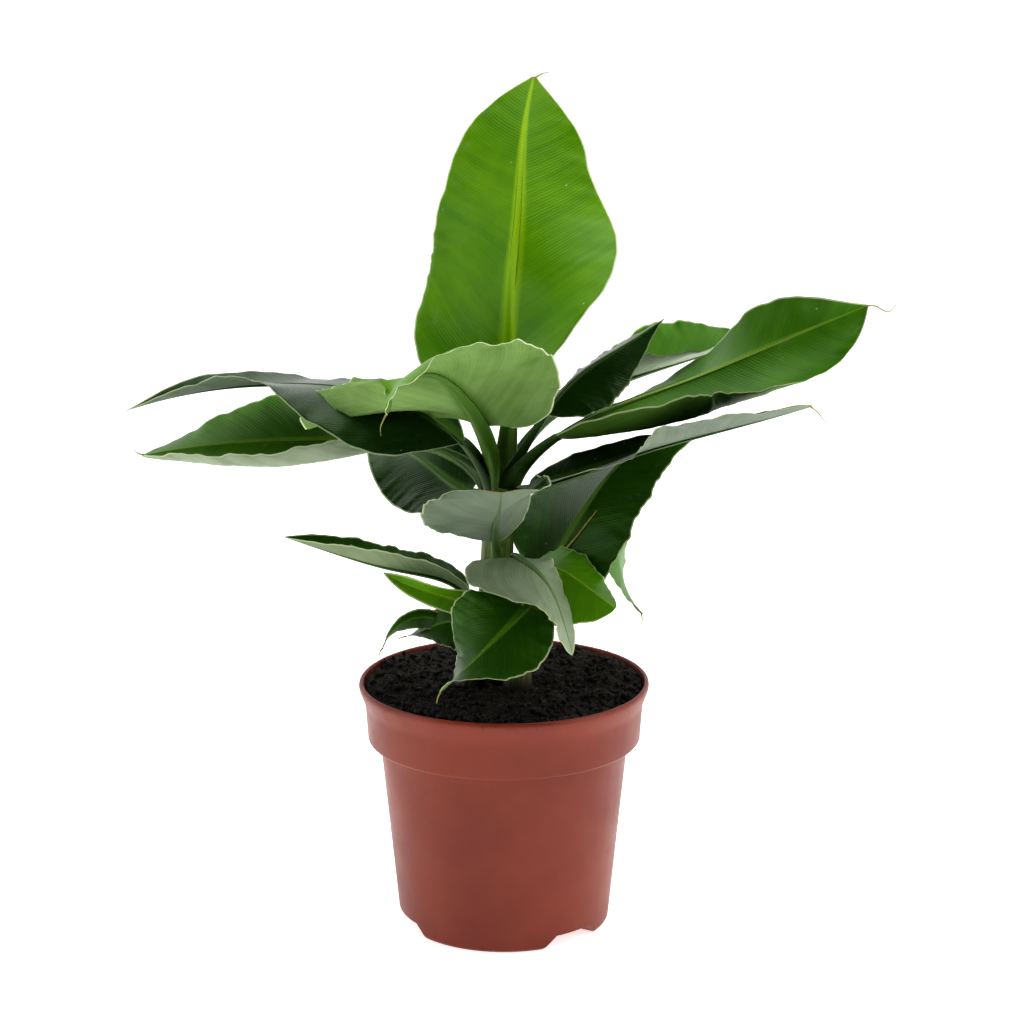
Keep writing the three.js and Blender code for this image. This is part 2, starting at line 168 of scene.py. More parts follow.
# ------------------------------------------------------------------ the leaves' sizes (mm, degrees)
# at: where the stalk leaves its stem; heel: a point of the stem below. head, rise: heading and
# climb of the rib from stalk foot to tip. roll: turn about the rib. fold, curl: how each half
# stands up from the flat and bends on toward its edge. tone: age of the blade; the young tone
# also holds painted light shining through the blade from behind.
LEAVES = {
    "leaf_01_crown": dict(at=[0, 3, 187], heel=[-2, 1, 176], head=[80, 59, 85, 75],
        rise=[62, 92, 51, 42], len=181, bare=0.17, half=[50, 43], outline=[0.45, 0.85],
        roll=[-5, 20, -10], foldL=[40, -15, -5], foldR=[55, -30, 5], stalk=[4.6, 3.2],
        edgeL=[1, 1, 1, 1, 1, 1, 1, 1, 1.04, 1.08, 0.75],
        edgeR=[1, 1, 1, 1, 1, 1, 0.99, 0.95, 1.06, 1.02, 0.9], tone="young_backlit"),
    "leaf_02_front": dict(at=[-2, -3, 188], heel=[-2, -2, 176], head=[218, 250, 223, 191],
        rise=[81, 40, 31, -90], len=101, bare=0.28, half=[40, 72], outline=[0.3, 0.55],
        roll=[55, -40, -15], foldL=[10, 5, 10], foldR=[30, 30, -12], curlL=[-25, -25],
        curlR=[-35, 25], stalk=[4.8, 3.4], ripple=2.2, tone="young_backlit"),
    "leaf_03_long_left": dict(at=[-5, -3, 187], heel=[-3, -1, 176], head=[205, 152, 167, 188],
        rise=[70, 10, -5, -18], len=176, bare=0.12, half=[38, 23], outline=[0.9, 1.35],
        roll=[30, 15, 40], foldL=[-25, 25, 45], foldR=[20, -20, 20], curlL=[-35, 40],
        stalk=[4, 2.6], tone="old"),
    "leaf_04_left": dict(at=[-6, 1, 185], heel=[-3, 0, 174], head=[122, 175, 177, 176],
        rise=[31, 3, -3, -13], len=156, bare=0.21, half=[39, 28], outline=[0.65, 0.75],
        roll=[5, 5, 20], foldL=[-25, -40, -15], foldR=[0, 25, -20], curlL=[120, 85],
        stalk=[3.6, 2.5], tone="green"),
    "leaf_05_back_left": dict(at=[-6, 3, 181], heel=[-3, 1, 170], head=[128, 124, 118, 158],
        rise=[-13, 14, -1, 17], len=101, bare=0.13, half=[23, 19], outline=[0.45, 0.9],
        roll=[25, 45, -10], foldL=[10, 5, 25], foldR=[10, 15, 5], stalk=[3.4, 2.4], tone="old"),
    "leaf_06_small_front": dict(at=[0, -10, 135], heel=[3, -10, 124], head=[238, 264, 274, 275],
        rise=[81, 56, 23, 52], len=93, bare=0.39, half=[25, 30], outline=[0.6, 0.4],
        roll=[30, -25, 5], foldL=[0, 25, 15], foldR=[20, 20, 5], stalk=[2.6, 1.8], tone="old"),
    "leaf_07_back_right": dict(at=[0, 0, 189], heel=[-2, 1, 176], head=[-7, 7, 11, 16],
        rise=[59, 56, 30, 33], len=94, bare=0.33, half=[16, 18], outline=[0.65, 1.25],
        roll=[15, 0, -15], foldL=[-10, -15, -20], foldR=[-45, -70, -100], stalk=[3.2, 2.2],
        tone="old"),
    "leaf_08_far_right": dict(at=[2, 8, 185], heel=[-1, 1, 174], head=[74, 36, 13, 14],
        rise=[47, 21, 15, 16], len=136, bare=0.37, half=[24, 21], outline=[0.65, 0.75],
        roll=[15, 10, -30], foldL=[-15, 35, 0], foldR=[55, 30, 50], stalk=[3.2, 2.1],
        tone="green"),
    "leaf_09_big_right": dict(at=[2, 0, 186], heel=[-2, 0, 174], head=[-31, 28, -3, 17],
        rise=[61, 14, 24, 19], len=171, bare=0.17, half=[27, 53], outline=[0.6, 0.9],
        roll=[20, -5, -55], foldL=[-15, -10, 75], foldR=[-60, -35, -25], curlR=[125, 65],
        stalk=[4.2, 2.8], tone="broad"),
    "leaf_10_narrow_right": dict(at=[0, -4, 182], heel=[-2, -1, 170], head=[-37, 12, -33, -4],
        rise=[22, 17, 19, 18], len=136, bare=0.09, half=[12, 33], outline=[0.3, 0.55],
        roll=[-15, -20, -10], foldL=[20, -5, 10], foldR=[30, 35, 30], stalk=[3.4, 2.4],
        tone="old"),
    "leaf_11_right_low": dict(at=[5, -3, 133], heel=[-4, 0, 120], head=[-6, 12, 18, 0],
        rise=[50, 60, 41, -6], len=113, bare=0.14, half=[42, 26], outline=[0.4, 0.85],
        roll=[0, 0, 0], foldL=[35, -5, -15], foldR=[-55, -30, -60], stalk=[3.2, 2.3],
        tone="mature"),
    "leaf_12_behind_right": dict(at=[2, 4, 136], heel=[-5, 1, 124], head=[21, 29, 10, 13],
        rise=[51, 48, -78, -51], len=111, bare=0.31, half=[18, 14], outline=[0.75, 0.6],
        roll=[15, -5, -25], foldL=[-35, 15, -35], foldR=[10, -25, 30], stalk=[2.5, 1.7],
        tone="bright"),
    "leaf_13_low_right": dict(at=[2, -10, 138], heel=[3, -10, 126], head=[-60, -39, -25, -22],
        rise=[87, 28, -26, -32], len=65, bare=0.14, half=[18, 24], outline=[0.4, 0.6],
        roll=[0, 0, 0], foldL=[15, 10, 0], foldR=[-70, -75, -60], stalk=[2.4, 1.7], tone="fresh"),
    "leaf_14_turned_front": dict(at=[2, -13, 136], heel=[3, -11, 124], head=[314, 279, 350, 323],
        rise=[108, 30, -60, -74], len=86, bare=0.34, half=[28, 13], outline=[0.45, 0.9],
        roll=[-55, -185, -175], foldL=[25, -10, -10], foldR=[10, 0, -20], stalk=[2.5, 1.8],
        tone="green"),
    "leaf_15_low_front": dict(at=[2, -12, 135], heel=[3, -11, 122], head=[337, 250, 210, 192],
        rise=[48, -9, -37, -40], len=78, bare=0.33, half=[22, 27], outline=[0.55, 0.9],
        roll=[-5, 15, -25], foldL=[20, -20, 15], foldR=[15, 0, -5], stalk=[2.5, 1.8],
        tone="mature"),
    "leaf_16_low_left": dict(at=[-12, -4, 122], heel=[-14, -4, 114], head=[197, 192, 161, 162],
        rise=[108, 20, 11, 14], len=102, bare=0.18, half=[11, 15], outline=[0.5, 0.9],
        roll=[25, -5, 20], foldL=[30, 50, 55], foldR=[25, 25, 25], stalk=[2.2, 1.5],
        tone="mature"),
    "leaf_17_small_left": dict(at=[-13, -2, 120], heel=[-14, -4, 112], head=[291, 238, 181, 152],
        rise=[85, 39, 17, 24], len=61, bare=0.21, half=[6, 6], outline=[0.45, 0.8],
        roll=[15, 75, 40], foldL=[0, 0, 15], foldR=[0, 60, 15], stalk=[1.7, 1.2], tone="fresh"),
    "leaf_18_drooping_left": dict(at=[-15, 0, 114], heel=[-15, -4, 107],
        head=[191, 197, 199, 204], rise=[77, 36, -16, -71], len=50, bare=0.26, half=[8, 4],
        outline=[0.55, 0.8], roll=[20, 30, -15], foldL=[15, 5, 25], foldR=[10, 20, 0],
        stalk=[1.5, 1.1], tone="mature"),
    "leaf_19_brown_tipped": dict(at=[-13, -6, 116], heel=[-15, -5, 108],
        head=[192, 195, 196, 210], rise=[114, 39, -20, -1], len=40, bare=0.21, half=[16, 12],
        outline=[0.5, 0.8], roll=[35, 30, -10], foldL=[20, -5, 10], foldR=[25, -15, -15],
        stalk=[1.6, 1.2], tone="mature"),
}
# foot, top: where a stem leaves the compost and ends; thick: its radius there; sheaths: how many wrap it
STEMS = {
    "pseudostem": dict(foot=[-7, 0, 103.0], top=[-2, 0, 185], thick=[6.8, 5.6], sheaths=5),
    "sucker_right": dict(foot=[5, -11, 103.0], top=[3, -10, 136], thick=[4.8, 3.8], sheaths=3),
    "sucker_left": dict(foot=[-16, -5, 103.0], top=[-13, -4, 121], thick=[4.2, 3.2], sheaths=3),
}
# straight steps that a leaf's rib is summed over
STEPS = 48


def rib_of(leaf):
    """Points, travel, side and upper directions of a leaf's rib at even steps, in mm.

    The rib is the sum of steps in the direction given by heading and climb. Its side starts level
    and turns about the rib by the roll; upper = side x travel."""
    s = np.linspace(0, 1, STEPS + 1)
    h, c, r = (np.radians(along(leaf[k], s)) for k in ("head", "rise", "roll"))
    t = np.stack([np.cos(c) * np.cos(h), np.cos(c) * np.sin(h), np.sin(c)], -1)
    step = leaf["len"] / STEPS
    p = np.array(leaf["at"], float) + np.concatenate(
        [np.zeros((1, 3)), np.cumsum((t[1:] + t[:-1]) / 2 * step, 0)])
    side0 = np.stack([np.sin(h), -np.cos(h), 0 * h], -1)
    up0 = np.cross(side0, t)
    r = r[:, None]
    return s, p, t, np.cos(r) * side0 + np.sin(r) * up0, np.cos(r) * up0 - np.sin(r) * side0


def at_steps(s0, a, s):
    """Rows of a vector table read at s, straight between its steps."""
    return np.stack([np.interp(s, s0, a[:, k]) for k in range(3)], -1)


def outline(u, leaf):
    """Blade width as a part of its greatest: (u/m)^open x ((1-u)/(1-m))^close, m = open/(open+close)."""
    o, c = leaf["outline"]
    m = o / (o + c)
    u = np.clip(u, 0, 1)
    return (u / m) ** o * ((1 - u) / (1 - m)) ** c


def blade_surface(leaf, u, d_part, seed, ripple):
    """Middle surface of a blade at rows u and columns from left edge to right edge.

    Each half starts at the rib, stands up by its fold angle and bends on by its curl angle, so a
    point at distance d of half width w lies at the integral of (cos, sin)(fold + curl d/w). The
    outer part waves up and down, more toward the edge."""
    s0, p, _, side, up = rib_of(leaf)
    s = leaf["bare"] + (1 - leaf["bare"]) * u
    p, side, up = at_steps(s0, p, s), unit(at_steps(s0, side, s)), unit(at_steps(s0, up, s))
    halves = []
    for sign, k, fold, curl in ((-1, 0, "foldL", "curlL"), (1, 1, "foldR", "curlR")):
        w = leaf["half"][k] * outline(u, leaf) * (1 + 0.012 * waves(u, 3, seed + k))
        w = w * along(leaf.get("edge" + fold[-1], [1, 1]), u)
        d = d_part(w)
        x = d / np.maximum(w, 1e-6)[:, None]
        f = np.radians(along(leaf[fold], u))[:, None]
        c = np.radians(along(leaf.get(curl, [0, 0]), u))[:, None]
        c = np.where(np.abs(c) < 1e-4, 1e-4, c)
        out = (np.sin(f + c * x) - np.sin(f)) / c * w[:, None]
        high = (np.cos(f) - np.cos(f + c * x)) / c * w[:, None]
        wave = ripple * waves(u, 5, seed + 7 * k + 3)[:, None] * x ** 3 * np.minimum(w, 20)[:, None] / 20
        g = p[:, None] + sign * out[..., None] * side[:, None] + (high + wave)[..., None] * up[:, None]
        halves.append((g, d, x))
    (gl, dl, xl), (gr, dr, xr) = halves
    grid = np.concatenate([gl[:, ::-1], gr[:, 1:]], 1)
    dist = np.concatenate([-dl[:, ::-1], dr[:, 1:]], 1)
    part = np.concatenate([-xl[:, ::-1], xr[:, 1:]], 1)
    return grid, dist, part, s


def grid_normals(g):
    """Unit normals of a grid of points, by the cross product of its two slopes."""
    du = np.gradient(g, axis=0)
    dv = np.gradient(g, axis=1)
    return unit(np.cross(dv, du))


# ------------------------------------------------------------------ leaves
def stalk_radius(leaf, s):
    """Half thickness of stalk and midrib: even taper up the bare stalk, then down to the blade's tip."""
    a, b = leaf["stalk"]
    u = np.clip((s - leaf["bare"]) / (1 - leaf["bare"]), 0, 1)
    return np.where(s < leaf["bare"], a + (b - a) * s / leaf["bare"], b * (1 - u) ** 1.15 * 0.92 + b * 0.08)


def facing_out(verts, faces):
    """The faces turned round if the closed surface's signed volume is negative."""
    a, b, c = verts[faces[:, 0]], verts[faces[:, 1]], verts[faces[:, 2]]
    d = verts[faces[:, 3]] if faces.shape[1] == 4 else c
    vol = (np.cross(a, b) * c).sum() + (np.cross(a, c) * d).sum()
    return faces[:, ::-1] if vol < 0 else faces


def as_triangles(faces):
    """Quads as triangles, leaving out those with no area."""
    if faces.shape[1] == 3:
        return faces
    t = np.concatenate([faces[:, [0, 1, 2]], faces[:, [0, 2, 3]]])
    return t[(t[:, 0] != t[:, 1]) & (t[:, 1] != t[:, 2]) & (t[:, 2] != t[:, 0])]


def capped(ring, foot, head):
    """A stack of rings closed at each end by a fan to a point, as vertices and outward triangles."""
    n, m = ring.shape[:2]
    j = np.arange(m)
    j2 = (j + 1) % m
    verts = np.concatenate([ring.reshape(-1, 3), [foot], [head]])
    first, last = np.full(m, n * m), np.full(m, n * m + 1)
    tri = np.concatenate([as_triangles(grid_faces(n, m, wrap=True)), np.stack([first, j2, j], -1),
                          np.stack([last, (n - 1) * m + j, (n - 1) * m + j2], -1)])
    return verts, facing_out(verts, tri)


def closed_tube(centre, side, up, half_wide, y_top, y_low, around=18):
    """A closed tube along a path: each section's lower half is a half ellipse, its upper half a given line.

    centre, side and up are rows of the path; y_top(c) is the height over the side position c in
    -1..1, as rows by columns; the ends close on a middle point."""
    th = np.linspace(0, np.pi, around // 2 + 1)
    c_top, c_low = np.cos(th), -np.cos(th)[1:-1]
    x = np.concatenate([c_top, c_low])[None] * half_wide[:, None]
    y = np.concatenate([y_top(c_top), -np.sin(th)[None, 1:-1] * y_low[:, None]], 1)
    ring = centre[:, None] + x[..., None] * side[:, None] + y[..., None] * up[:, None]
    return capped(ring, ring[0].mean(0), ring[-1].mean(0))


def thread(points, radius, seed=0, around=6, steps=24):
    """A thin round strand through points, narrowing to its end, with a slight tremble."""
    s = np.linspace(0, 1, steps)
    p = np.stack([along(np.asarray(points, float)[:, k], s) for k in range(3)], -1)
    t = unit(np.gradient(p, axis=0))
    a = unit(np.cross(t, [0.31, 0.9, 0.27]))
    b = np.cross(t, a)
    r = radius * (1 - 0.75 * s) * (1 + 0.12 * waves(s, 4, seed))
    return closed_tube(p, a, b, r, lambda c: np.sqrt(np.maximum(1 - c * c, 0))[None] * r[:, None], r,
                       around)


class Bundle:
    """Closed surfaces gathered into one mesh, with a material index and three surface maps."""

    def __init__(self):
        self.verts, self.faces, self.mats, self.maps, self.count = [], [], [], [], 0

    def add(self, verts, faces, mat, maps=None):
        """Takes in a surface: its material index, or one per face, and six map numbers per vertex."""
        faces = as_triangles(faces)
        self.verts.append(verts)
        self.faces.append(faces + self.count)
        self.mats.append(np.full(len(faces), mat) if np.isscalar(mat) else mat)
        self.maps.append(np.zeros((len(verts), 6)) if maps is None else maps)
        self.count += len(verts)

    def build(self, name, mats):
        """The gathered surfaces as one mesh object, in metres."""
        maps = np.concatenate(self.maps)
        obj = mesh_object(name, np.concatenate(self.verts) * MM, np.concatenate(self.faces), mats,
                          np.concatenate(self.mats))
        loops = np.empty(len(obj.data.loops), np.int32)
        obj.data.loops.foreach_get("vertex_index", loops)
        for k, layer in enumerate(("vein", "place", "rib")):
            uv = obj.data.uv_layers.new(name=layer)
            uv.data.foreach_set("uv", maps[loops, 2 * k:2 * k + 2].astype(np.float32).ravel())
        return obj


# end of the drip tip: offsets across, away and up from the blade's tip, in mm
DRIPS = {
    "leaf_01_crown": [(0, 0, 0), (2.9, 0, 1.6), (4.4, 0, 2.2), (6.5, 0, 2.4)],
    "leaf_02_front": [(0, 0, 0), (-1.6, -1, -3.2), (-2.6, -1, -6), (-2.4, -2, -9)],
    "leaf_04_left": [(0, 0, 0), (-2.6, 0, 0.8), (-4.5, 0, 2.8)],
    "leaf_09_big_right": [(0, 0, 0), (4, 0, 0), (7, 0, -1.6), (10, 0, -2.3), (13, 0, 1.2)],
    "leaf_10_narrow_right": [(0, 0, 0), (2.6, 0, -2), (4.6, 0, -4.5), (6.4, 0, -7)],
    "leaf_11_right_low": [(0, 0, 0), (3.5, 0, 1), (6, 0, 4), (7.3, 0, 6.2)],
    "leaf_12_behind_right": [(0, 0, 0), (0.5, 0, -2.5), (0.4, 0, -6)],
    "leaf_15_low_front": [(0, 0, 0), (-1, -1, -2), (-1.6, -1, -4.5)],
    "leaf_18_drooping_left": [(0, 0, 0), (-1.2, 0, -1.5), (-1.6, 0, -4)],
    "leaf_19_brown_tipped": [(0, 0, 0), (-2, 0, -0.6), (-4, 0, -1.6)],
}
# a dead strand lying on a blade: where it runs along the blade (0 to 1) and across it (-1 to 1)
STRANDS = {"leaf_11_right_low": ((0.06, 0.40), (0.06, 0.42))}
# rows along a blade and columns across each half of it, for long blades and for short ones
COUNTS = {"big": (190, 22), "small": (110, 16)}
LONG_BLADE = 95.0
BLADE_THICK = 0.34
# how deep the rib's channel is, and how far down the keel starts, as parts of the rib's half width
CHANNEL, KEEL_TOP = 0.22, 0.60
# side veins that can be felt: their height and spacing, mm
VEIN_RISE, VEIN_STEP = 0.05, 4.3
# sections of a stalk's heel, and points round a stalk and round a keel
HEEL_ROWS, STALK_AROUND, KEEL_AROUND = 24, 24, 20
DRIP_RADIUS, STRAND_RADIUS = 0.42, 0.8


def leaf_blade(name, leaf, seed, mats):
    """A blade: upper and under skins a third of a millimetre apart, closed round the margin, with a
    channel along its top, a keel under it and a thread-like drip tip."""
    rows, cols = COUNTS["big" if leaf["len"] > LONG_BLADE else "small"]
    e = np.linspace(0, 1, rows)
    u = 0.5 - 0.5 * np.cos(np.pi * (0.06 + 0.925 * e))
    u = 0.004 + (u - u[0]) / (u[-1] - u[0]) * 0.992
    s_row = leaf["bare"] + (1 - leaf["bare"]) * u
    r = stalk_radius(leaf, s_row)
    t = np.linspace(0, 1, cols + 1)

    def spread(w):
        """Columns from the rib to the edge, closer together over the rib."""
        near = np.minimum(r, w * 0.5)
        k = 6
        a = t[:k + 1] / t[k] * near[:, None] * 1.3
        b = near[:, None] * 1.3 + (w - near * 1.3)[:, None] * np.linspace(0, 1, cols - k + 1)[None, 1:]
        return np.concatenate([a, b], 1)

    grid, dist, part, s = blade_surface(leaf, u, spread, seed, leaf.get("ripple", 1.1))
    n = grid_normals(grid)
    s0, p, _, side, up = rib_of(leaf)
    if (n * at_steps(s0, up, s)[:, None]).sum(-1).mean() < 0:
        n = -n
    w = np.abs(dist[:, [0, -1]])
    width = np.concatenate([np.repeat(w[:, :1], cols, 1), np.repeat(w[:, 1:], cols + 1, 1)], 1)
    rr = np.minimum(r, 0.5 * w.mean(1))[:, None]
    q = np.clip(np.abs(dist) / np.maximum(rr, 1e-3), 0, 1)
    shoulder = 0.12 * rr * q ** 2 * (1 - np.clip(np.abs(dist) / (2.2 * rr), 0, 1)) ** 2
    channel = shoulder - CHANNEL * rr * (1 - q ** 2) ** 2
    travel = s * leaf["len"]
    edge = np.abs(part)
    v = travel[:, None] - np.abs(dist) * 0.72 - 4.0 * edge ** 3 * np.minimum(width, 30) / 30
    relief = VEIN_RISE * np.sin(v / VEIN_STEP * 2 * np.pi + 4 * waves(v / 90, 2, seed))
    relief = relief * np.clip(edge * 4, 0, 1) * (np.minimum(width, 30) / 30)
    mid = grid + (channel + relief)[..., None] * n
    thick = BLADE_THICK * (1 - 0.6 * edge ** 4)[..., None]
    top, under = mid + n * thick / 2, mid - n * thick / 2
    m, k = grid.shape[:2]
    maps = np.stack([v, dist, part, np.broadcast_to(u[:, None], v.shape), dist / np.maximum(rr, 1e-3),
                     width], -1).reshape(-1, 6)
    verts = np.concatenate([top.reshape(-1, 3), under.reshape(-1, 3)])
    upper = grid_faces(m, k)
    lower = grid_faces(m, k)[:, ::-1] + m * k
    ring = np.concatenate([np.arange(k), np.arange(2 * k - 1, m * k, k),
                           np.arange(m * k - 2, (m - 1) * k - 1, -1), np.arange((m - 2) * k, 0, -k)])
    nxt = np.roll(ring, -1)
    skirt = np.stack([ring, ring + m * k, nxt + m * k, nxt], -1)
    faces = np.concatenate([upper, lower, skirt])
    mat = np.concatenate([np.zeros(len(upper)), np.ones(len(lower)), np.zeros(len(skirt))]).astype(int)
    out = facing_out(verts, faces)
    bundle = Bundle()
    bundle.add(verts, out, np.concatenate([mat, mat]), np.concatenate([maps, maps]))
    # the keel under the blade
    s2 = np.linspace(leaf["bare"], 0.995, 150)
    c2, side2, up2 = at_steps(s0, p, s2), unit(at_steps(s0, side, s2)), unit(at_steps(s0, up, s2))
    r2 = stalk_radius(leaf, s2)
    v, f = closed_tube(c2, side2, up2, r2,
                       lambda x: -KEEL_TOP * r2[:, None] * np.sqrt(np.maximum(1 - x * x, 0))[None],
                       r2, KEEL_AROUND)
    kmap = np.zeros((len(v), 6))
    ringed = np.repeat(s2 * leaf["len"], KEEL_AROUND)
    kmap[:len(ringed), 0] = ringed
    bundle.add(v, f, 2, kmap)
    if name in DRIPS:
        tip = at_steps(s0, p, np.array([0.992]))[0]
        bundle.add(*thread([tip + np.array(o) for o in DRIPS[name]], DRIP_RADIUS, seed), 3)
    if name in STRANDS:
        (u0, u1), (x0, x1) = STRANDS[name]
        i = np.rint(np.linspace(u0, u1, 7) * (m - 1)).astype(int)
        j = np.rint((1 + np.linspace(x0, x1, 7)) / 2 * (k - 1)).astype(int)
        bundle.add(*thread(top[i, j] + n[i, j] * 0.5, STRAND_RADIUS, seed + 5), 3)
    return bundle.build(name + "_blade", mats)


def leaf_stalk(name, leaf, mats):
    """A leaf stalk: rounded below, with an open groove between two shoulders above, widest where it
    leaves the sheath; it runs on a little way inside the keel of the blade."""
    s0, p, travel, side, up = rib_of(leaf)
    end = leaf["bare"] + 0.03
    s = np.linspace(0, end, 90)
    centre = at_steps(s0, p, s)
    sd, u2 = unit(at_steps(s0, side, s)), unit(at_steps(s0, up, s))
    heel, first = np.array(leaf["heel"], float), centre[0]
    reach = np.linspace(0, 1, HEEL_ROWS, endpoint=False)[:, None]
    gap = np.linalg.norm(first - heel)
    bend = first - travel[0] * gap * 0.45
    lead = (1 - reach) ** 2 * heel + 2 * reach * (1 - reach) * bend + reach ** 2 * first
    path = np.concatenate([lead, centre])
    t = unit(np.gradient(path, axis=0))
    sd = np.concatenate([np.repeat(sd[:1], HEEL_ROWS, 0), sd])
    sd = unit(sd - (sd * t).sum(-1, keepdims=True) * t)
    upd = np.cross(sd, t)
    if (upd[HEEL_ROWS:] * u2).sum() < 0:
        upd = -upd
    r = stalk_radius(leaf, s)
    r = np.concatenate([np.linspace(leaf["stalk"][0] * 1.12, r[0], HEEL_ROWS, endpoint=False), r])
    inside = np.clip((s - leaf["bare"] + 0.004) / 0.03, 0, 1)
    open_part = np.concatenate([np.ones(HEEL_ROWS), 1 - inside])
    r = r * np.concatenate([np.ones(HEEL_ROWS), 1 - 0.25 * inside])
    wing = 1 + 0.3 * np.concatenate([np.ones(HEEL_ROWS), np.clip(1 - s / leaf["bare"], 0, 1) ** 2])

    def top(c):
        """Height of the groove and its shoulders across the stalk."""
        groove = (1.25 * c * c)[None] * open_part[:, None] - 0.34
        return np.sqrt(np.maximum(1 - c * c, 0))[None] * groove * r[:, None]

    v, f = closed_tube(path, sd, upd, r * wing, top, r * 0.96, STALK_AROUND)
    bundle = Bundle()
    kmap = np.zeros((len(v), 6))
    far = np.concatenate([np.linspace(-gap, 0, HEEL_ROWS, endpoint=False), s * leaf["len"]])
    ang = np.linspace(0, 1, STALK_AROUND, endpoint=False)
    count = len(far) * STALK_AROUND
    kmap[:count, 0] = np.repeat(far, STALK_AROUND)
    kmap[:count, 1] = np.tile(ang, len(far))
    kmap[:count, 2] = np.repeat(far / (leaf["bare"] * leaf["len"]), STALK_AROUND)
    bundle.add(v, f, 0, kmap)
    return bundle.build(name + "_petiole", mats)


# ------------------------------------------------------------------ leaf materials
def feed(tree, socket, x):
    """Gives a socket its value: another node's output, a constant or an sRGB hex value."""
    if isinstance(x, bpy.types.NodeSocket):
        tree.links.new(x, socket)
    else:
        socket.default_value = srgb(x) if isinstance(x, str) else x


def calc(tree, op, *values):
    """A math node on sockets or numbers."""
    n = node(tree, "ShaderNodeMath", operation=op)
    for socket, x in zip(n.inputs, values):
        feed(tree, socket, x)
    return n.outputs[0]


def times(tree, a, b):
    """The product of two sockets or numbers."""
    return calc(tree, "MULTIPLY", a, b)


def fade(tree, value, start, end, low=0.0, high=1.0):
    """Runs from low to high as the value goes from start to end."""
    return node(tree, "ShaderNodeMapRange", {"Value": value}, From_Min=start, From_Max=end, To_Min=low,
                To_Max=high).outputs["Result"]


def object_place(tree):
    """The place on the object, in metres."""
    return node(tree, "ShaderNodeTexCoord").outputs["Object"]


def blend(tree, factor, a, b):
    """Mixes two colours, each a socket or an sRGB hex value."""
    n = node(tree, "ShaderNodeMix", data_type="RGBA", blend_type="MIX")
    for k, x in ((0, factor), (6, a), (7, b)):
        feed(tree, n.inputs[k], x)
    return n.outputs[2]


def uv_parts(tree, layer):
    """The two numbers of a surface map."""
    uv = node(tree, "ShaderNodeUVMap", uv_map=layer).outputs["UV"]
    sep = node(tree, "ShaderNodeSeparateXYZ", {"Vector": uv})
    return sep.outputs["X"], sep.outputs["Y"]


def noise(tree, vector, scale, detail=3.0, rough=0.55):
    """A noise value over a vector."""
    return node(tree, "ShaderNodeTexNoise", {"Vector": vector}, Scale=scale, Detail=detail,
                Roughness=rough).outputs["Fac"]


def cell(tree, vector, scale):
    """How far a vector is from the nearest of many scattered points."""
    return node(tree, "ShaderNodeTexVoronoi", {"Vector": vector}, Scale=scale).outputs["Distance"]


def vec(tree, x, y, z=0.0):
    """A vector from sockets or numbers."""
    n = node(tree, "ShaderNodeCombineXYZ")
    for k, v in enumerate((x, y, z)):
        feed(tree, n.inputs[k], v)
    return n.outputs[0]


def roughen(tree, shader, height, strength, distance):
    """Bumps a shader's surface by a height, over a distance in metres."""
    bump = node(tree, "ShaderNodeBump", {"Height": height}, Strength=strength, Distance=distance)
    tree.links.new(bump.outputs["Normal"], shader.inputs["Normal"])


def set_shader(tree, shader, **values):
    """Colour, roughness and the like straight on the shader's sockets."""
    for key, value in values.items():
        feed(tree, shader.inputs[key.replace("_", " ")], value)


TONES = {
    # upper skin dark and light, side vein, midrib, under skin dark and light, margin, keel
    # the young row: the leaf's own paler yellow-green, made brighter and more saturated as painted light
    # shining through the blade from behind
    "young_backlit": ("#457c00", "#6e9e02", "#86b010", "#9cc414", "#597f36", "#97b56f", "#e2ecc4", "#587c2c"),
    "fresh": ("#43760a", "#689a14", "#78a520", "#86ac28", "#466e18", "#6f9440", "#bccb90", "#5f8a2c"),
    "green": ("#33620c", "#588c1a", "#6c9a30", "#84a838", "#67785a", "#a2af94", "#b9c79a", "#5f7f3c"),
    "broad": ("#33620c", "#588c1a", "#6c9a30", "#84a838", "#2f4f14", "#54782e", "#b9c79a", "#5f7f3c"),
    "mature": ("#1f4006", "#35600c", "#4a7816", "#6a9224", "#56694a", "#8b9a78", "#b3c092", "#5b7a38"),
    "bright": ("#376a08", "#568c10", "#6c981c", "#78a024", "#2c5604", "#487a0c", "#8fa860", "#4f7424"),
    "old": ("#112a0a", "#1f3f0e", "#33561a", "#4a6e24", "#505f4b", "#838f7c", "#a9b68c", "#4a6630"),
}


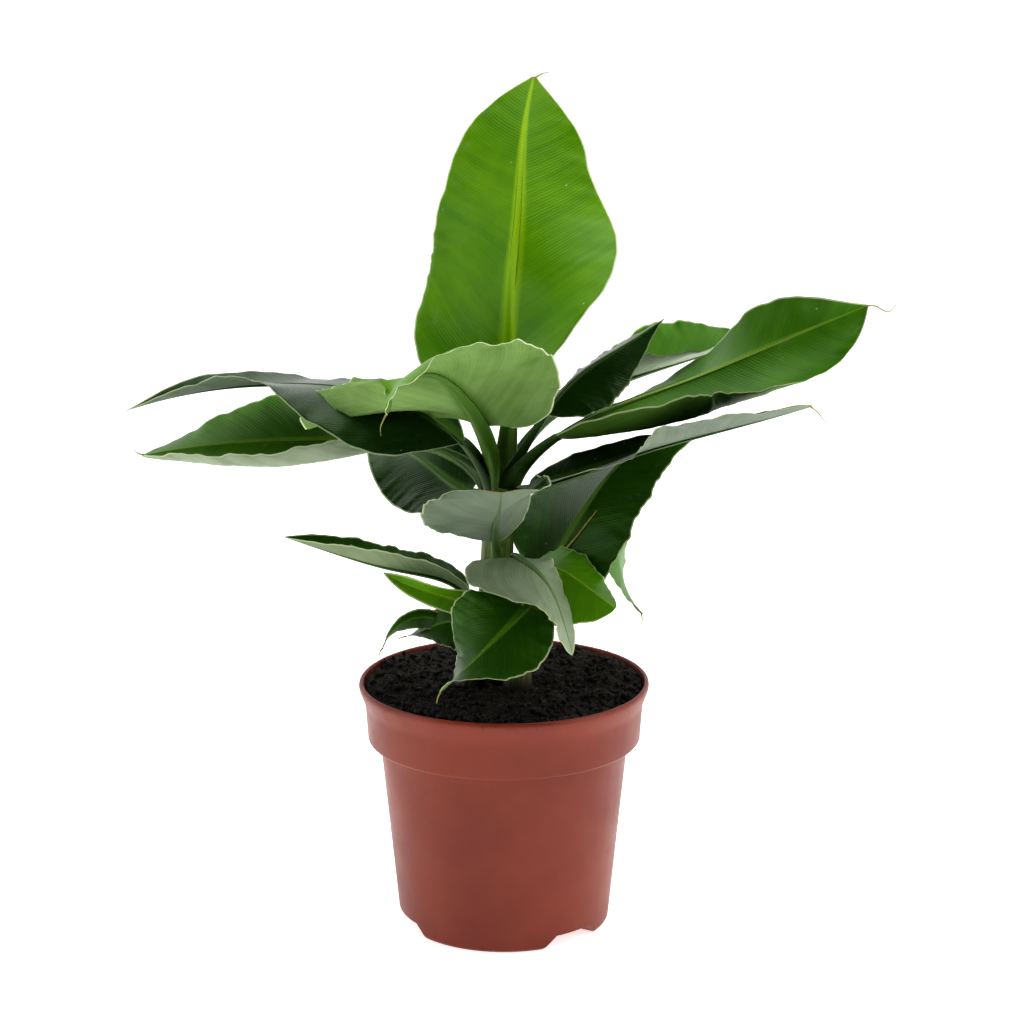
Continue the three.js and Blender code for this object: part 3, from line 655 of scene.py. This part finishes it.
def blade_materials(tone):
    """The skins of a banana leaf of one age, with painted through-light for the young: glossy veined upper
    side, waxy paler underside.
    """
    dark, light, vein_c, rib_c, low, low_light, margin, keel = TONES[tone]
    made = []
    for face in ("upper", "under"):
        mat, tree, shader = material(f"banana_leaf_{face}_{tone}")
        v, d = uv_parts(tree, "vein")
        part, u = uv_parts(tree, "place")
        q, width = uv_parts(tree, "rib")
        # side veins: fine streaks about 0.8 mm apart, stronger ones every few millimetres
        fine = noise(tree, vec(tree, times(tree, v, 1.25), times(tree, d, 0.02)), 1.0, 2.0)
        wide = noise(tree, vec(tree, times(tree, v, 0.16), times(tree, d, 0.014), 3.0), 1.0, 3.0)
        band = calc(tree, "SINE", times(tree, v, 2 * math.pi / 1.55))
        patch = noise(tree, object_place(tree), 26.0, 4.0)
        mix = calc(tree, "ADD", times(tree, wide, 0.5), times(tree, patch, 0.9))
        mix = calc(tree, "ADD", mix, times(tree, band, 0.022))
        tone_f = fade(tree, mix, 0.45, 1.0)
        ends = (dark, light) if face == "upper" else (low, low_light)
        base = blend(tree, tone_f, *ends)
        streak = fade(tree, fine, 0.56, 0.8, 0.0, 0.28)
        base = blend(tree, streak, base, vein_c if face == "upper" else low_light)
        if face == "upper":
            # dried water leaves faint pale marks, and a few white specks
            mark = noise(tree, object_place(tree), 75.0, 6.0, 0.72)
            base = blend(tree, fade(tree, mark, 0.6, 0.78, 0.0, 0.3), base, "#8fa382")
            dots = fade(tree, cell(tree, object_place(tree), 95.0), 0.05, 0.03)
            base = blend(tree, times(tree, dots, 0.5), base, "#c3ccb8")
        # midrib: paler, fading out where the blade begins
        a = calc(tree, "ABSOLUTE", q)
        rib = fade(tree, a, 2.6 if tone == "young_backlit" else 1.5, 1.0 if tone == "young_backlit" else 0.6)
        base = blend(tree, times(tree, rib, 0.8), base, rib_c if face == "upper" else keel)
        # margin: a thin pale line
        inset = times(tree, calc(tree, "SUBTRACT", 1.0, calc(tree, "ABSOLUTE", part)), width)
        line = fade(tree, inset, 0.85, 0.5)
        base = blend(tree, times(tree, line, 0.85), base, margin)
        # the tip dries to tan
        dry = fade(tree, calc(tree, "ADD", u, times(tree, patch, 0.02)), 0.995, 1.012)
        base = blend(tree, dry, base, "#8a7440")
        height = calc(tree, "ADD", times(tree, band, 0.35), times(tree, fine, 0.9))
        roughen(tree, shader, height, 0.4, 0.00018)
        # the wax: roughness from and to, strength and tint of its shine
        wax = (0.32, 0.46, 0.18, (0.66, 0.95, 0.55, 1.0))
        if face == "under":
            wax = (0.5, 0.66, 0.14, (0.85, 1.0, 0.78, 1.0))
        elif tone == "old":
            wax = (0.24, 0.36, 0.26, (0.66, 0.95, 0.55, 1.0))
        set_shader(tree, shader, Base_Color=base, Roughness=fade(tree, patch, 0.35, 0.7, *wax[:2]),
                   Specular_IOR_Level=wax[2], Specular_Tint=wax[3])
        made.append(mat)
    mat, tree, shader = material(f"banana_midrib_{tone}")
    v, _ = uv_parts(tree, "vein")
    lines = noise(tree, vec(tree, times(tree, v, 0.06), 0.0), 1.0, 3.0)
    set_shader(tree, shader, Base_Color=blend(tree, lines, keel, low), Roughness=0.42,
               Specular_IOR_Level=0.25)
    made.append(mat)
    mat, tree, shader = material(f"dry_leaf_tip_{tone}")
    far = noise(tree, object_place(tree), 160.0)
    tan = ramp(tree, far, [(0.3, "#a3b24c"), (0.58, "#94803a"), (0.82, "#4a3520")])
    set_shader(tree, shader, Base_Color=tan, Roughness=0.6)
    made.append(mat)
    return made


def stalk_material(name, dark, light, edge, keel):
    """A fleshy stalk: green, streaked lengthwise, turning to the keel's colour at the blade."""
    mat, tree, shader = material(name)
    v, a = uv_parts(tree, "vein")
    lines = noise(tree, vec(tree, times(tree, v, 0.05), times(tree, a, 22.0)), 1.0, 3.0)
    spots = noise(tree, object_place(tree), 90.0, 4.0)
    base = ramp(tree, calc(tree, "ADD", times(tree, lines, 0.6), times(tree, spots, 0.4)),
                [(0.32, dark), (0.55, light), (0.75, edge)])
    far, _ = uv_parts(tree, "place")
    base = blend(tree, fade(tree, far, 0.45, 1.0), base, keel)
    roughen(tree, shader, lines, 0.4, 0.0003)
    set_shader(tree, shader, Base_Color=base, Roughness=0.4, Specular_IOR_Level=0.28)
    return mat


BLADES = {tone: blade_materials(tone) for tone in TONES}
STALK_TONES = {
    "young_backlit": ("#2f4a12", "#46681a", "#6c9036"), "fresh": ("#3a5c14", "#52781e", "#7c9f3c"),
    "bright": ("#3a5c14", "#52781e", "#7c9f3c"),
    "green": ("#243c10", "#375a18", "#628036"), "broad": ("#243c10", "#375a18", "#628036"),
    "mature": ("#243c10", "#375a18", "#628036"), "old": ("#1c3010", "#2c4a18", "#50702c"),
}
STALKS = {tone: stalk_material(f"banana_leaf_stalk_{tone}", *cols, TONES[tone][7])
          for tone, cols in STALK_TONES.items()}
for index, (leaf_name, spec) in enumerate(LEAVES.items()):
    piece = leaf_blade(leaf_name, spec, 100 + 11 * index, BLADES[spec["tone"]])
    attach(piece, "root")
    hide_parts(leaf_name + "_blade")
    piece = leaf_stalk(leaf_name, spec, [STALKS[spec["tone"]]])
    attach(piece, "root")
    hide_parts(leaf_name + "_petiole")


# ------------------------------------------------------------------ stems
SHEATH_THICK = 0.62


def stem(name, spec, seed, mat):
    """A pseudostem: leaf sheaths wrapped round each other. The radius steps out by a sheath's
    thickness at each overlap edge, which winds slowly round as it climbs."""
    rows, cols = 110, 72
    z = np.linspace(0, 1, rows)
    foot, top = np.array(spec["foot"], float), np.array(spec["top"], float)
    lean = np.sin(np.pi * z)[:, None] * np.array([0.9, -0.6, 0.0])
    centre = foot + (top - foot) * z[:, None] + lean
    a, b = spec["thick"]
    length = np.linalg.norm(top - foot)
    base = a + (b - a) * z + 0.14 * a * np.exp(-z * length / 9.0)
    th = np.linspace(0, 2 * np.pi, cols, endpoint=False)
    r = np.repeat(base[:, None], cols, 1)
    wrap = np.zeros((rows, cols))
    gen = np.random.default_rng(seed)
    for _ in range(spec["sheaths"]):
        start = gen.uniform(0, 2 * np.pi)
        turn = gen.uniform(0.5, 1.3) * length / 60
        ends = gen.uniform(0.35, 1.1)
        place = np.mod(th[None] - start - turn * z[:, None], 2 * np.pi) / (2 * np.pi)
        held = np.clip((ends - z) * 6, 0, 1)[:, None]
        step = np.clip(place * 22, 0, 1) * (1 - place) ** 1.5
        r = r + SHEATH_THICK * step * held
        wrap = wrap + np.exp(-((place - 0.03) / 0.03) ** 2) * held
    ring = centre[:, None] + r[..., None] * np.stack([np.cos(th), np.sin(th), 0 * th], -1)[None]
    verts, tri = capped(ring, ring[0].mean(0), ring[-1].mean(0) + [0, 0, 1.5])
    maps = np.zeros((len(verts), 6))
    maps[:rows * cols, 0] = np.repeat(z * length, cols)
    maps[:rows * cols, 1] = np.tile(th / (2 * np.pi), rows)
    maps[:rows * cols, 2] = wrap.ravel()
    maps[:rows * cols, 3] = np.repeat(z, cols)
    bundle = Bundle()
    bundle.add(verts, tri, 0, maps)
    return bundle.build(name, [mat])


def sheath_material():
    """Leaf sheaths: yellow-green, streaked up and down, brown and papery at their edges and foot."""
    mat, tree, shader = material("banana_leaf_sheath")
    v, a = uv_parts(tree, "vein")
    wrap, up = uv_parts(tree, "place")
    lines = noise(tree, vec(tree, times(tree, v, 0.05), times(tree, a, 40.0)), 1.0, 4.0)
    spots = noise(tree, object_place(tree), 150.0, 4.0)
    base = ramp(tree, lines, [(0.3, "#3c5220"), (0.5, "#5d7a2a"), (0.7, "#8b9c4d")])
    base = blend(tree, fade(tree, spots, 0.58, 0.7), base, "#4b3a22")
    base = blend(tree, times(tree, wrap, 0.7), base, "#5f4a2c")
    foot = fade(tree, calc(tree, "ADD", up, times(tree, lines, 0.2)), 0.34, 0.1)
    base = blend(tree, foot, base, "#4a3a26")
    soil = fade(tree, calc(tree, "ADD", v, times(tree, lines, 5.0)), 11.0, 3.0)
    base = blend(tree, times(tree, soil, 0.9), base, "#1d1611")
    roughen(tree, shader, lines, 0.5, 0.0004)
    set_shader(tree, shader, Base_Color=base, Roughness=0.45)
    return mat


SHEATH = sheath_material()
for index, (stem_name, spec) in enumerate(STEMS.items()):
    piece = stem(stem_name, spec, 40 + index, SHEATH)
    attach(piece, "root")
    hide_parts(stem_name)

# ------------------------------------------------------------------ pot
# half profile of the pot, radius and height in mm, with the rounding of each corner
POT = [
    (0.0, 0.0, 0), (42.8, 0.0, 0.6), (43.8, 1.0, 0.6), (51.4, 77.8, 0.5), (55.6, 78.5, 0.4),
    (56.4, 79.3, 0.4), (57.4, 94.0, 2.5), (58.6, 97.4, 1.5), (59.7, 100.4, 1.2), (60.0, 101.8, 0.8),
    (59.6, 103.0, 0.6), (58.9, 103.4, 0.5), (58.1, 103.0, 0.5), (57.7, 101.4, 0.8), (55.8, 94.0, 1.5),
    (54.8, 80.8, 0.8),
    (49.8, 79.6, 0.8), (42.7, 7.0, 0.8), (0.0, 7.0, 0)]
# notches in the foot: how far up and in they go, the slant of their sides, heading and half width of each
NOTCH = dict(height=5.4, depth=14.0, slant=4.0, places=[(-49.0, 15.5), (-161.0, 20.0), (70.0, 17.0)])


def rounded(profile, turn_steps=5, longest=3.0):
    """A profile with its corners turned into short curves and its long runs divided."""
    pts = [np.array(profile[0][:2])]
    for k in range(1, len(profile) - 1):
        p, a, b = (np.array(profile[i][:2]) for i in (k, k - 1, k + 1))
        r = min(profile[k][2], 0.45 * np.linalg.norm(a - p), 0.45 * np.linalg.norm(b - p))
        s, e = p + (a - p) / np.linalg.norm(a - p) * r, p + (b - p) / np.linalg.norm(b - p) * r
        t = np.linspace(0, 1, turn_steps)[:, None]
        pts.extend((1 - t) ** 2 * s + 2 * t * (1 - t) * p + t ** 2 * e)
    pts.append(np.array(profile[-1][:2]))
    pts = np.array(pts)
    out = [pts[:1]]
    for a, b in zip(pts[:-1], pts[1:]):
        n = max(1, int(np.ceil(np.linalg.norm(b - a) / longest)))
        out.append(a + (b - a) * (np.arange(1, n + 1) / n)[:, None])
    return np.concatenate(out)


def make_pot():
    """The pot: its profile turned about the upright axis, with three notches pressed up into the foot.

    In a notch every low point beyond its depth is raised to the notch's height, which falls away to
    nothing over a slanted wall each side. The rim is very slightly uneven."""
    prof = rounded(POT)
    cut = POT[1][0] - NOTCH["depth"]
    climb = np.argmax(prof[:, 1] > 9.0)
    corner = prof[:climb][(prof[:climb, 0] > 41) & (prof[:climb, 1] < 1.4)]
    step = np.arange(1.8, 8.8, 0.4)
    wall = np.stack([np.interp(step, [POT[2][1], POT[3][1]], [POT[2][0], POT[3][0]]), step], -1)
    prof = np.concatenate([[[cut - 0.05, 0.0], [cut + 0.05, 0.0]], corner, wall, prof[climb:-1]])
    rad, high = prof[:, :1], prof[:, 1:]
    inside = np.arange(len(prof))[:, None] > np.argmax(high > 90)
    extra = [mid + s * (half + o) for mid, half in NOTCH["places"] for s in (-1, 1)
             for o in (-4, -2.5, 2.5, 4)]
    deg = np.sort(np.mod(np.concatenate([np.arange(0, 360, 1.5), extra]), 360))
    th = np.radians(deg)
    lift = np.zeros(len(deg))
    for mid, half in NOTCH["places"]:
        off = np.abs(np.mod(deg - mid + 180, 360) - 180)
        ease = np.clip((half + NOTCH["slant"] - off) / (2 * NOTCH["slant"]), 0, 1)
        lift = np.maximum(lift, NOTCH["height"] * ease)
    z = np.where((rad > cut) & ~inside, np.maximum(high, lift), high + 0 * lift)
    z = z + 0.12 * np.sin(3 * th + 1.1) * np.clip((high - 97) / 6, 0, 1)
    r = rad * (1 + 0.0016 * np.sin(2 * th + 0.7) * (high / 103) ** 3)
    verts, tri = capped(np.stack([r * np.cos(th), r * np.sin(th), z], -1), [0, 0, 0], [0, 0, POT[-1][1]])
    obj = mesh_object("pot", verts * MM, tri, [pot_material()])
    obj.data.set_sharp_from_angle(angle=math.radians(38))
    return obj


def pot_material():
    """Terracotta-coloured polypropylene: semi-gloss, faintly mottled, with a few scuffs and pits."""
    mat, tree, shader = material("terracotta_polypropylene")
    here = object_place(tree)
    soft = noise(tree, here, 22.0, 4.0)
    fine = noise(tree, here, 900.0, 2.0)
    base = ramp(tree, soft, [(0.35, "#772b19"), (0.65, "#85361f")])
    dot = fade(tree, cell(tree, here, 120.0), 0.075, 0.045)
    spot = times(tree, dot, fade(tree, noise(tree, here, 40.0, 2.0), 0.58, 0.62))
    base = blend(tree, times(tree, spot, 0.7), base, "#5a2720")
    dust = noise(tree, here, 60.0, 5.0, 0.7)
    base = blend(tree, fade(tree, dust, 0.55, 0.8, 0.0, 0.04), base, "#a8705f")
    height = calc(tree, "SUBTRACT", times(tree, fine, 0.25), spot)
    roughen(tree, shader, height, 0.35, 0.0002)
    set_shader(tree, shader, Base_Color=base, Roughness=fade(tree, dust, 0.3, 0.75, 0.36, 0.52),
               Specular_IOR_Level=0.35)
    return mat


POT_PIECE = make_pot()
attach(POT_PIECE, "root")
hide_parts("pot")


# ------------------------------------------------------------------ compost
def lump(points, size, gen):
    """Uneven crumbs: a small seven-sided ball of 23 corners at each point, each bent at random."""
    th = np.linspace(0, 2 * np.pi, 7, endpoint=False)
    ph = np.array([-0.9, -0.1, 0.75])
    ring = np.stack([np.cos(ph)[:, None] * np.cos(th), np.cos(ph)[:, None] * np.sin(th),
                     np.repeat(np.sin(ph)[:, None], 7, 1)], -1)
    unit_ball, tri = capped(ring, [0, 0, -1], [0, 0, 1])
    n, m = len(points), len(unit_ball)
    shape = unit_ball[None] * gen.uniform(0.65, 1.25, (n, m, 1)) * gen.uniform(0.6, 1.3, (n, 1, 3))
    turn = gen.uniform(0, 2 * np.pi, n)
    c, s = np.cos(turn)[:, None], np.sin(turn)[:, None]
    x, y, z = (shape[..., i] for i in range(3))
    shape = np.stack([x * c - y * s, x * s + y * c, z], -1)
    verts = points[:, None] + shape * size[:, None, None]
    faces = (tri[None] + (np.arange(n) * m)[:, None, None]).reshape(-1, 3)
    return verts.reshape(-1, 3), faces


def fibre(points, heading, length, gen):
    """Loose fibres: bent three-sided strands laid over the surface."""
    n, steps = len(points), 7
    t = np.linspace(0, 1, steps)
    bend = gen.uniform(-1.2, 1.2, n)
    ang = heading[:, None] + bend[:, None] * t[None]
    x = np.cumsum(np.cos(ang), 1) * (length / steps)[:, None]
    y = np.cumsum(np.sin(ang), 1) * (length / steps)[:, None]
    z = np.sin(np.pi * t)[None] * 2.6 * gen.uniform(0.05, 1.0, (n, 1)) ** 2.5
    p = points[:, None] + np.stack([x, y, z], -1)
    r = (0.13 * (1 - 0.6 * t))[None] * gen.uniform(0.5, 1.4, (n, 1))
    a = np.arange(3) * 2 * np.pi / 3
    side = np.stack([-np.sin(ang), np.cos(ang), 0 * ang], -1)
    flat, tall = np.cos(a)[:, None] * side[:, :, None], np.sin(a)[:, None] * np.array([0, 0, 1.0])
    ring = p[:, :, None] + r[..., None, None] * (flat + tall)
    last = (steps - 1) * 3
    tri = np.concatenate([as_triangles(grid_faces(steps, 3, wrap=True)), [[0, 2, 1]],
                          [[last, last + 1, last + 2]]])
    faces = (tri[None] + (np.arange(n) * steps * 3)[:, None, None]).reshape(-1, 3)
    return ring.reshape(-1, 3), faces


# crumbs and fibres strewn over the compost, and crumbs heaped against the lip
CRUMBS, FIBRES, HEAPED = 4200, 1500, 260
# the compost's body: radius and height of the rings below its surface, mm
BODY = [[3.0, 7.4], [20.0, 7.4], [41.9, 7.4], [42.2, 7.8], [49.3, 80.0], [54.4, 81.2], [55.4, 94.0]]


def compost_height(x, y):
    """Height of the compost's surface: a shallow mound with hollows of several sizes."""
    h = 102.3 - 1.1 * (np.hypot(x, y) / 55) ** 2
    for k, (size, depth) in enumerate(((21.0, 1.0), (9.0, 1.0), (4.6, 0.8), (2.6, 0.5))):
        g = np.random.default_rng(70 + k)
        for _ in range(3):
            a, ph = g.uniform(0, 2 * np.pi, 2)
            h = h + depth / 2 * np.sin((x * np.cos(a) + y * np.sin(a)) * 2 * np.pi / size + ph)
    return h


def make_compost(mats):
    """Moist peat: an uneven top over a body that fills the pot, strewn with crumbs and fibres."""
    gen = np.random.default_rng(5)
    th = np.linspace(0, 2 * np.pi, 120, endpoint=False)
    foot = np.array(BODY)
    rad = np.concatenate([foot[:, 0], np.linspace(57.0, 1.5, 36)])
    z0 = np.concatenate([foot[:, 1], np.zeros(36)])
    x, y = rad[:, None] * np.cos(th), rad[:, None] * np.sin(th)
    z = np.where(np.arange(len(rad))[:, None] < len(foot), z0[:, None], compost_height(x, y))
    ring = np.stack([x, y, z], -1)
    bundle = Bundle()
    bundle.add(*capped(ring, ring[0].mean(0), ring[-1].mean(0)), 0)
    r, a = 56.4 * np.sqrt(gen.uniform(0.0, 1, CRUMBS)), gen.uniform(0, 2 * np.pi, CRUMBS)
    size = 0.3 + 1.3 * gen.uniform(0, 1, CRUMBS) ** 5
    p = np.stack([r * np.cos(a), r * np.sin(a), 0 * r], -1)
    p[:, 2] = compost_height(p[:, 0], p[:, 1]) + size * 0.2
    bundle.add(*lump(p, size, gen), 0)
    # crumbs heaped against the lip at the front left
    a = np.radians(gen.normal(243, 11, HEAPED))
    r = gen.uniform(50, 57.0, HEAPED)
    size = 0.5 + 0.9 * gen.uniform(0, 1, HEAPED) ** 2
    p = np.stack([r * np.cos(a), r * np.sin(a), 102.4 + gen.uniform(0, 1.5, HEAPED)], -1)
    bundle.add(*lump(p, size, gen), 0)
    r, a = 55.0 * np.sqrt(gen.uniform(0.0, 1, FIBRES)), gen.uniform(0, 2 * np.pi, FIBRES)
    p = np.stack([r * np.cos(a), r * np.sin(a), 0 * r], -1)
    p[:, 2] = compost_height(p[:, 0], p[:, 1]) + 0.5
    heading = gen.uniform(0, 2 * np.pi, FIBRES)
    bundle.add(*fibre(p, heading, 2 + 10 * gen.uniform(0, 1, FIBRES) ** 1.6, gen), 1)
    return bundle.build("compost", mats)


def peat_material(name, stops, rough):
    """Moist peat or its fibres, mottled from one crumb to the next."""
    mat, tree, shader = material(name)
    here = object_place(tree)
    grain = noise(tree, here, 420.0, 4.0, 0.7)
    roughen(tree, shader, grain, 0.8, 0.0006)
    set_shader(tree, shader, Base_Color=ramp(tree, grain, stops), Roughness=rough)
    return mat


PEAT = [peat_material("moist_peat", [(0.3, "#0a0808"), (0.55, "#150f0c"), (0.78, "#2b1f16")], 0.85),
        peat_material("peat_fibre", [(0.3, "#241810"), (0.6, "#4a3422"), (0.8, "#7d6144")], 0.8)]
COMPOST = make_compost(PEAT)
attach(COMPOST, "root")
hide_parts("compost")


# ------------------------------------------------------------------ studio
def area_light(name, place, target, size, watts, tint=(1, 1, 1)):
    """A square softbox facing its target."""
    data = bpy.data.lights.new(name, "AREA")
    data.shape, data.size, data.size_y = "RECTANGLE", size[0], size[1]
    data.energy, data.color = watts, tint
    lamp = bpy.data.objects.new(name, data)
    lamp.location = place
    lamp.rotation_mode = "QUATERNION"
    lamp.rotation_quaternion = (Vector(target) - Vector(place)).to_track_quat("-Z", "Y")
    SCENE.collection.objects.link(lamp)


def make_studio():
    """A wide white floor, a bright world and soft lights to the left, right and above."""
    mat, tree, shader = material("matte_white_sweep")
    white = ramp(tree, noise(tree, object_place(tree), 3.0), [(0.0, "#fbfbfb"), (1.0, "#ffffff")])
    set_shader(tree, shader, Base_Color=white, Roughness=0.9, Emission_Color=(1, 1, 1, 1),
               Emission_Strength=0.6)
    th = np.linspace(0, 2 * np.pi, 96, endpoint=False)
    ring = np.stack([8 * np.cos(th), 8 * np.sin(th), 0 * th - 0.0002], -1)
    verts = np.concatenate([[[0, 0, -0.0002]], ring])
    j = np.arange(96)
    floor = mesh_object("studio_floor", verts, np.stack([0 * j, 1 + j, 1 + (j + 1) % 96], -1), [mat])
    world = bpy.data.worlds.new("studio_world")
    world.use_nodes = True
    SCENE.world = world
    tree = world.node_tree
    sky = tree.nodes["Background"]
    around = node(tree, "ShaderNodeTexCoord").outputs["Generated"]
    sep = node(tree, "ShaderNodeSeparateXYZ", {"Vector": around})
    front = calc(tree, "MULTIPLY_ADD", sep.outputs["Y"], 0.5, 0.5)
    shade = ramp(tree, front, [(0.0, 0.02), (0.5, 0.06), (0.78, 1.0)])
    tree.links.new(shade, sky.inputs["Color"])
    sky.inputs["Strength"].default_value = 1.0
    area_light("softbox_right", (1.1, -0.35, 0.75), (0, 0, 0.12), (0.7, 0.9), 7)
    area_light("softbox_left", (-1.15, -0.30, 0.65), (0, 0, 0.12), (0.6, 0.9), 5)
    area_light("softbox_top", (0.1, 0.25, 1.5), (0, 0, 0.1), (1.2, 1.2), 11)


make_studio()
